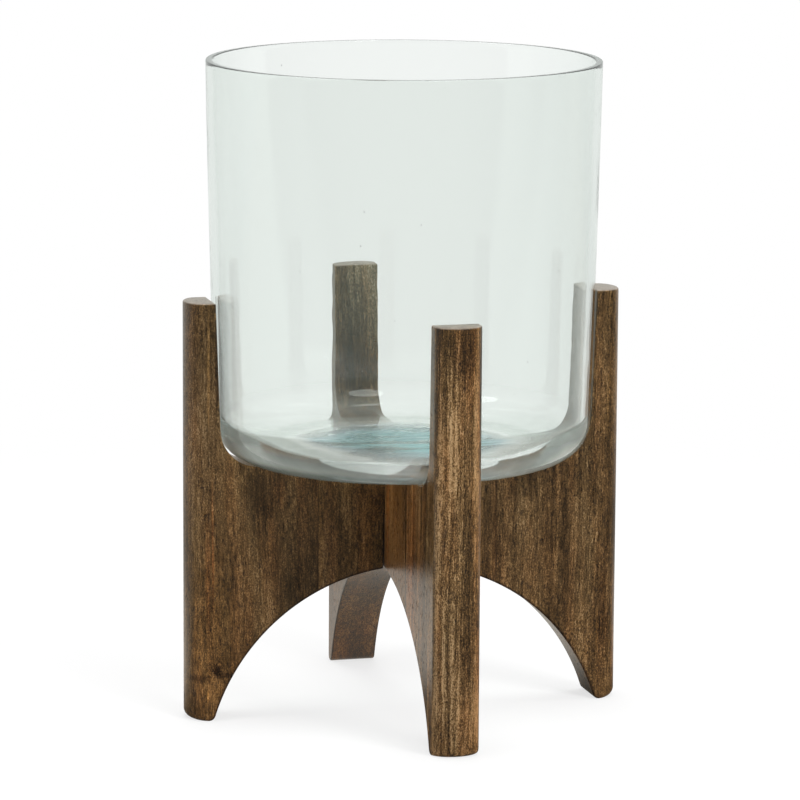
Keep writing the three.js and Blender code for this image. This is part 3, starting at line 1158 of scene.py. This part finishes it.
@dataclass
class GlassVase:
    """The blown glass vase: a cylinder that flares a little, with a rounded heel and a ground rim."""

    body: str = "vase"
    glass: ClearGlass = field(default_factory=ClearGlass)
    air: TrappedAir = field(default_factory=TrappedAir)
    foot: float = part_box("glass_vase")[0].z
    top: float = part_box("glass_vase")[1].z
    rim_radius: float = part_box("glass_vase")[1].x
    heel_radius: float = 0.0958
    heel_corner: float = 0.020
    inside_corner: float = 0.018
    rim_wall: float = 0.0034
    heel_wall: float = 0.0042
    base_thickness: float = 0.007
    foot_ring: float = 0.0188
    punt_depth: float = 0.0025
    rim_edge: float = 0.0006
    flare_power: float = 1.2
    sides: int = 320
    wall_steps: int = 84
    corner_steps: int = 26
    punt_steps: int = 18
    foot_steps: int = 6
    floor_steps: int = 20
    rim_steps: int = 6
    ripple_height: float = 0.00010
    ripple_seed: float = 3.7
    ripple_stretch: Place = (34.0, 34.0, 22.0)
    inside_fade: float = 0.02
    same_spot: float = 1e-6
    seed_size: Point = (0.00012, 0.0003)
    seeds_per_area: float = 420.0
    seed_height: float = 1.5
    seed_fineness: int = 2
    seed_draw: int = 11

    @property
    def height(self) -> float:
        """Height of the vase by itself."""
        return self.top - self.foot

    def share(self, height: float) -> float:
        """How far up the wall a height is, from 0 at the heel to 1 at the rim."""
        return (height - self.heel_corner) / (self.height - self.heel_corner)

    def outer_radius(self, height: float) -> float:
        """Radius of the outside at a height above the vase's own foot."""
        flare = (1 - self.share(height)) ** self.flare_power
        return self.rim_radius - (self.rim_radius - self.heel_radius) * flare

    def inner_radius(self, height: float) -> float:
        """Radius of the inside at a height above the vase's own foot."""
        wall = self.heel_wall + (self.rim_wall - self.heel_wall) * self.share(height)
        return self.outer_radius(height) - wall

    def section(self) -> list[Point]:
        """Half of the vase's section, from the middle of its underside round to the middle of its floor."""
        ring_inside = self.heel_radius - self.heel_corner - self.foot_ring
        punt_radius = (ring_inside**2 + self.punt_depth**2) / (2 * self.punt_depth)
        punt_centre = self.punt_depth - punt_radius
        punt_end = math.atan2(-punt_centre, ring_inside)
        inside_start = self.base_thickness + self.inside_corner
        inside_x = self.inner_radius(inside_start) - self.inside_corner
        ring_outside = self.heel_radius - self.heel_corner
        outside = np.linspace(self.heel_corner, self.height - self.rim_edge, self.wall_steps)[1:-1]
        inside = np.linspace(self.height - self.rim_edge, inside_start, self.wall_steps)[1:-1]
        edge = (self.rim_edge, self.rim_edge)
        bore = self.rim_radius - self.rim_wall
        edge_z = self.height - self.rim_edge
        corner = (self.inside_corner, self.inside_corner)
        heel = (self.heel_corner, self.heel_corner)
        return [
            *arc((0, punt_centre), (punt_radius, punt_radius), QUARTER, punt_end, self.punt_steps),
            *line((ring_inside, 0), (ring_outside, 0), self.foot_steps),
            *arc((ring_outside, self.heel_corner), heel, -QUARTER, 0, self.corner_steps),
            *((self.outer_radius(h), h) for h in outside),
            *arc((self.rim_radius - self.rim_edge, edge_z), edge, 0, QUARTER, self.rim_steps),
            *arc((bore + self.rim_edge, edge_z), edge, QUARTER, math.pi, self.rim_steps),
            *((self.inner_radius(h), h) for h in inside),
            *arc((inside_x, inside_start), corner, 0, -QUARTER, self.corner_steps),
            *line((inside_x, self.base_thickness), (0, self.base_thickness), self.floor_steps),
            (0.0, self.base_thickness),
        ]

    def section_object(self) -> bpy.types.Object:
        """The section as loose points, with the attribute "inside" on those of the inner face."""
        points = self.section()
        rim = max(range(len(points)), key=lambda i: (points[i][1], -points[i][0]))
        below = self.height - self.rim_edge
        inside = [0.0] * (rim + 1)
        inside += [min(1.0, max(0.0, (below - z) / self.inside_fade)) for _, z in points[rim + 1 :]]
        mesh = bpy.data.meshes.new("vase_section")
        mesh.from_pydata([(r, 0, z + self.foot) for r, z in points], [], [])
        mesh.attributes.new("inside", "FLOAT", "POINT").data.foreach_set("value", inside)
        return linked("vase_section", mesh)

    def turning_tree(self) -> bpy.types.NodeTree:
        """Geometry nodes that turn the section about the axis and ripple its inner face."""
        kinds = {
            "Section": "Geometry",
            "Sides": "Int",
            "Ripple Height": "Float",
            "Ripple Seed": "Float",
            "Glass": "Material",
        }
        tree, n, given = new_tree("turned_vase", kinds, "Vase")
        section = {"Geometry": given["Section"]}
        count = n.node("GeometryNodeAttributeDomainSize", {"component": "MESH"}, section, "Point Count")
        size = {"Vertices X": given["Sides"] + 1.0, "Vertices Y": count}
        grid = n.node("GeometryNodeMeshGrid", {}, size, "Mesh")
        index = n.node("GeometryNodeInputIndex")
        turn = (index / count).math("FLOOR") / given["Sides"] * math.tau
        step = index.math("MODULO", count)
        place = n.node("GeometryNodeInputPosition")
        radius, _, up = n.parts(n.sampled(given["Section"], place, step, "FLOAT_VECTOR"))
        spot = n.vector(radius * turn.math("COSINE"), radius * turn.math("SINE"), up)
        turned = n.changed("GeometryNodeSetPosition", grid, Position=spot)

        inner = n.sampled(given["Section"], n.named("inside"), step, "FLOAT")
        kept = {"Geometry": turned, "Name": "inside", "Value": inner}
        at_points = {"data_type": "FLOAT", "domain": "POINT"}
        marked = n.node("GeometryNodeStoreNamedAttribute", at_points, kept, "Geometry")
        merged = n.changed("GeometryNodeMergeByDistance", marked, Distance=self.same_spot)

        stretched = n.vectors("MULTIPLY", n.node("GeometryNodeInputPosition"), self.ripple_stretch)
        seed = given["Ripple Seed"]
        waves = {"Vector": stretched, "W": seed, "Scale": 1.0, "Detail": 4.0, "Roughness": 0.58}
        wave = n.node("ShaderNodeTexNoise", {"noise_dimensions": "4D"}, waves)
        lift = (wave - 0.5) * given["Ripple Height"] * n.named("inside") * 2.0
        push = n.scaled(n.node("GeometryNodeInputNormal", {}, {}, "Normal"), lift)
        rippled = n.changed("GeometryNodeSetPosition", merged, Offset=push)
        n.node("NodeGroupOutput", {}, {"Vase": n.dressed(rippled, given["Glass"])})
        return tree

    def seeding_tree(self) -> bpy.types.NodeTree:
        """Geometry nodes that scatter small air bubbles under the outer face of the glass."""
        kinds = {
            "Vase": "Geometry",
            "Density": "Float",
            "Depth": "Float",
            "Least Size": "Float",
            "Most Size": "Float",
            "Seed": "Int",
            "Air": "Material",
        }
        tree, n, given = new_tree("glass_seeds", kinds, "Bubbles")
        seed = given["Seed"]
        outer = n.named("inside").math("LESS_THAN", 0.001)
        scatter = {"Mesh": given["Vase"], "Selection": outer, "Density": given["Density"], "Seed": seed}
        points = n.node("GeometryNodeDistributePointsOnFaces", {}, scatter, "Points")
        normal = Socket(n, points.link.node.outputs["Normal"])
        inwards = n.scaled(normal, given["Depth"] * -1.0)
        sunk = n.changed("GeometryNodeSetPosition", points, Offset=inwards)
        ball = {"Radius": 1.0, "Subdivisions": self.seed_fineness}
        sizes = {"Min_001": given["Least Size"], "Max_001": given["Most Size"], "Seed": seed}
        size = n.node("FunctionNodeRandomValue", {"data_type": "FLOAT"}, sizes, "Value_001")
        spread = {
            "Points": sunk,
            "Instance": n.node("GeometryNodeMeshIcoSphere", {}, ball, "Mesh"),
            "Scale": n.vector(size, size, size * self.seed_height),
        }
        bubbles = n.node("GeometryNodeInstanceOnPoints", {}, spread, "Instances")
        n.node("NodeGroupOutput", {}, {"Bubbles": n.dressed(bubbles, given["Air"])})
        return tree

    def build(self) -> None:
        turning = {
            "Sides": self.sides,
            "Ripple Height": self.ripple_height,
            "Ripple Seed": self.ripple_seed,
            "Glass": self.glass.material(),
        }
        vase = grown(self.section_object(), self.turning_tree(), turning, "vase_glass")
        if signed_volume(vase.data) < 0:
            vase.data.flip_normals()
        middle_wall = (self.rim_wall + self.heel_wall) / 2
        seeding = {
            "Density": self.seeds_per_area,
            "Depth": middle_wall / 2,
            "Least Size": self.seed_size[0],
            "Most Size": self.seed_size[1],
            "Seed": self.seed_draw,
            "Air": self.air.material(),
        }
        copy = linked("vase_copy", vase.data.copy())
        seeds = grown(copy, self.seeding_tree(), seeding, "glass_seeds")
        for piece in (vase, seeds):
            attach(piece, self.body)
            report(piece, self.body)
        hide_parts("glass_vase")


def grown(
    source: bpy.types.Object, tree: bpy.types.NodeTree, values: dict[str, Any], name: str
) -> bpy.types.Object:
    """Runs a geometry node tree on an object and keeps the result as a plain mesh.

    Args:
        source: The object that the tree starts from. It is removed.
        tree: The geometry nodes.
        values: Values of the tree's inputs, by name.
        name: Name of the new object.

    Returns:
        The new object, with no modifier.
    """
    modifier = source.modifiers.new("grow", "NODES")
    modifier.node_group = tree
    for item in tree.interface.items_tree:
        if item.in_out == "INPUT" and item.name in values:
            modifier[item.identifier] = values[item.name]
    source.update_tag()
    graph = bpy.context.evaluated_depsgraph_get()
    mesh = bpy.data.meshes.new_from_object(source.evaluated_get(graph), depsgraph=graph)
    mesh.name = name
    bpy.data.objects.remove(source)
    return linked(name, mesh)


def report(piece: bpy.types.Object, body: str) -> None:
    """Logs one finished piece."""
    LOG.info("%s rides on %s: %d faces", piece.name, body, len(piece.data.polygons))


# The studio


@dataclass(frozen=True)
class Lamp:
    """One soft oval lamp that looks at the middle of the object."""

    name: str
    place: Place
    size: Point
    power: float
    mirrored: bool = False
    lights_wood: bool = True
    aim: Place = (0.0, 0.0, 0.15)
    most_passed: float = 4.5

    def build(self) -> None:
        """Makes the lamp. A mirrored one shows once in the glass, not again on its far faces."""
        light = bpy.data.lights.new(self.name, "AREA")
        light.shape = "ELLIPSE"
        light.size, light.size_y = self.size
        light.energy = self.power
        obj = linked(self.name, light)
        obj.location = self.place
        away = Vector(self.place) - Vector(self.aim)
        obj.rotation_euler = away.to_track_quat("Z", "Y").to_euler()
        obj.visible_glossy = obj.visible_transmission = self.mirrored
        obj.visible_diffuse = self.lights_wood
        if self.mirrored:
            light.use_nodes = True
            n = NodeMaker(light.node_tree, "ShaderNodeOutputLight")
            passed = n.ray("Transmission Depth").math("LESS_THAN", self.most_passed)
            n.finish(n.glow(WHITE, passed))


LAMPS = (
    Lamp("key_lamp", (1.2, -2.0, 1.0), (0.9, 0.9), 40.0),
    Lamp("fill_lamp", (-2.0, -0.5, 1.0), (1.3, 1.3), 10.0),
    Lamp("top_lamp", (0.0, 0.3, 2.2), (1.3, 1.3), 30.0),
    Lamp("glint_lamp", (0.62, -2.2, 2.45), (1.15, 1.4), 17.0, mirrored=True),
    Lamp("side_glint_lamp", (-1.9, -0.1, 2.3), (0.9, 1.3), 14.0, mirrored=True, lights_wood=False),
)


@dataclass
class Studio:
    """Plain floor, white back, soft lamps and the plain view."""

    floor_half: float = 9.0
    floor_colour: Colour = (0.86, 0.86, 0.86)
    shadow_range: Point = (0.75, 0.42)
    shadow_share: float = 0.3
    ambient: float = 0.5
    bounces: int = 24

    # Colours and levels of what glass and lacquer mirror
    far_white: Colour = (0.965, 1.0, 0.975)
    near_white: Colour = (1.0, 0.945, 0.845)
    far_range: Point = (0.45, 0.9)
    far_share: float = 0.88
    front: float = 0.10
    front_in_glass: float = 0.45

    # Stretches, from the front to the rear, over which the mirrored floor and room turn white
    floor_close: Point = (-0.01, 0.10)
    floor_apart: Point = (-0.6, 1.6)
    floor_in_glass: Point = (-0.75, -0.45)
    apart_range: Point = (0.25, 0.5)
    room: Point = (-0.65, 0.75)
    room_in_glass: Point = (-1.0, -0.6)

    def floor(self) -> None:
        """A pale floor. Straight on and through glass it shows white, with the object's shadow. For mirrored
        rays it glows instead: a painted reflection, dim in front, white at the back and warm close by.
        """
        h = self.floor_half
        mesh = bpy.data.meshes.new("floor")
        mesh.from_pydata([(-h, -h, 0), (h, -h, 0), (h, h, 0), (-h, h, 0)], [], [(0, 1, 2, 3)])
        material, n = new_material("pale_floor")
        x, y, _ = n.parts(n.place())
        away = x.hypot(y)
        straight, mirrored = self.rays(n)
        inside = self.in_glass(n)
        apart = away.rise(*self.apart_range)
        back = y.rise(*self.floor_close) * (1.0 - apart) + (y.rise(*self.floor_apart) * apart)
        far = y.rise(*self.far_range)
        level = self.level(inside, back, y.rise(*self.floor_in_glass)) * far.between(1.0, self.far_share)
        seen = n.glow(n.mix(far.most(inside), self.near_white, self.far_white), level)
        lit = n.node("ShaderNodeBsdfDiffuse", {}, {"Color": self.floor_colour})
        near = away.rise(*self.shadow_range) * self.shadow_share
        n.finish(n.blend(straight * (1.0 - near), n.blend(mirrored, lit, seen), n.glow(WHITE, 1.0)))
        mesh.materials.append(material)
        linked("floor", mesh)

    @staticmethod
    def rays(n: NodeMaker) -> tuple[Socket, Socket]:
        """Sorts the rays that meet the studio.

        Args:
            n: Maker of the floor's or the world's nodes.

        Returns:
            1 for a ray from the camera that has met nothing or has only gone through glass, and 1 for a
            ray that a glossy surface has mirrored.
        """
        straight = n.ray("Is Camera Ray").most(n.ray("Is Transmission Ray"))
        straight = straight * n.ray("Glossy Depth").math("LESS_THAN", 0.5)
        return straight, n.ray("Is Glossy Ray") * (1.0 - straight)

    @staticmethod
    def in_glass(n: NodeMaker) -> Socket:
        """1 for a ray that has been in glass, and 0 for any other."""
        return n.ray("Transmission Depth").math("GREATER_THAN", 0.5)

    def level(self, inside: Socket, back: Socket, back_in_glass: Socket) -> Socket:
        """Brightness of the studio for a mirrored ray.

        Args:
            inside: 1 for a ray that has been in glass.
            back: How much the ray meets the white back, for a ray that an outer surface mirrors.
            back_in_glass: The same for a ray that has been in glass.

        Returns:
            The brightness, 1 for white.
        """
        outer = back.between(self.front, 1.0)
        inner = back_in_glass.between(self.front_in_glass, 1.0)
        return outer * (1.0 - inside) + (inner * inside)

    def world(self) -> None:
        """White behind the object, and a dimmer studio in front of it for what it mirrors."""
        world = bpy.data.worlds.new("studio")
        bpy.context.scene.world = world
        world.use_nodes = True
        n = NodeMaker(world.node_tree, "ShaderNodeOutputWorld")
        _, y, _ = n.parts(n.place())
        straight, mirrored = self.rays(n)
        level = self.level(self.in_glass(n), y.rise(*self.room), y.rise(*self.room_in_glass))
        kind = "ShaderNodeBackground"
        mirror = n.glow(self.far_white, level * self.far_share, kind)
        other = n.blend(mirrored, n.glow(WHITE, self.ambient, kind), mirror)
        n.finish(n.blend(straight, other, n.glow(WHITE, 1.0, kind)))

    def build(self) -> None:
        """Sets the floor, the world, the lamps and the plain view."""
        self.floor()
        self.world()
        for lamp in LAMPS:
            lamp.build()
        bpy.context.scene.view_settings.view_transform = "Standard"
        paths = bpy.context.scene.cycles
        paths.max_bounces = paths.glossy_bounces = paths.transmission_bounces = self.bounces


@dataclass
class Camera:
    """The camera, fitted to the object's outlines in the photograph."""

    turn: float = math.radians(14.81)
    distance: float = 2.30456
    height: float = 0.5735
    aim_height: float = 0.15955
    aim_side: float = -0.00115
    roll: float = math.radians(0.33)
    focal_pixels: float = 4592.5
    frame_pixels: float = 800.0
    sensor: float = 36.0
    clip: Point = (0.05, 60.0)

    def build(self) -> None:
        """Makes the camera and sets it as the scene's own."""
        sine, cosine = math.sin(self.turn), math.cos(self.turn)
        place = Vector((-sine * self.distance, -cosine * self.distance, self.height))
        side = Vector((cosine, -sine, 0.0))
        forward = (Vector((0, 0, self.aim_height)) + side * self.aim_side - place).normalized()
        level = forward.cross(Vector((0, 0, 1))).normalized()
        upward = level.cross(forward)
        right = math.cos(self.roll) * level + math.sin(self.roll) * upward
        up = right.cross(forward)
        data = bpy.data.cameras.new("camera")
        data.sensor_width = self.sensor
        data.lens = self.focal_pixels * self.sensor / self.frame_pixels
        data.clip_start, data.clip_end = self.clip
        camera = linked("camera", data)
        camera.matrix_world = Matrix((
            (right.x, up.x, -forward.x, place.x),
            (right.y, up.y, -forward.y, place.y),
            (right.z, up.z, -forward.z, place.z),
            (0, 0, 0, 1),
        ))
        bpy.context.scene.camera = camera


def main() -> None:
    """Builds the stand, the vase and the studio."""
    logging.basicConfig(level=logging.INFO, format="%(message)s")
    Camera().build()
    WoodenStand().build()
    GlassVase().build()
    Studio().build()


if __name__ == "__main__":
    main()
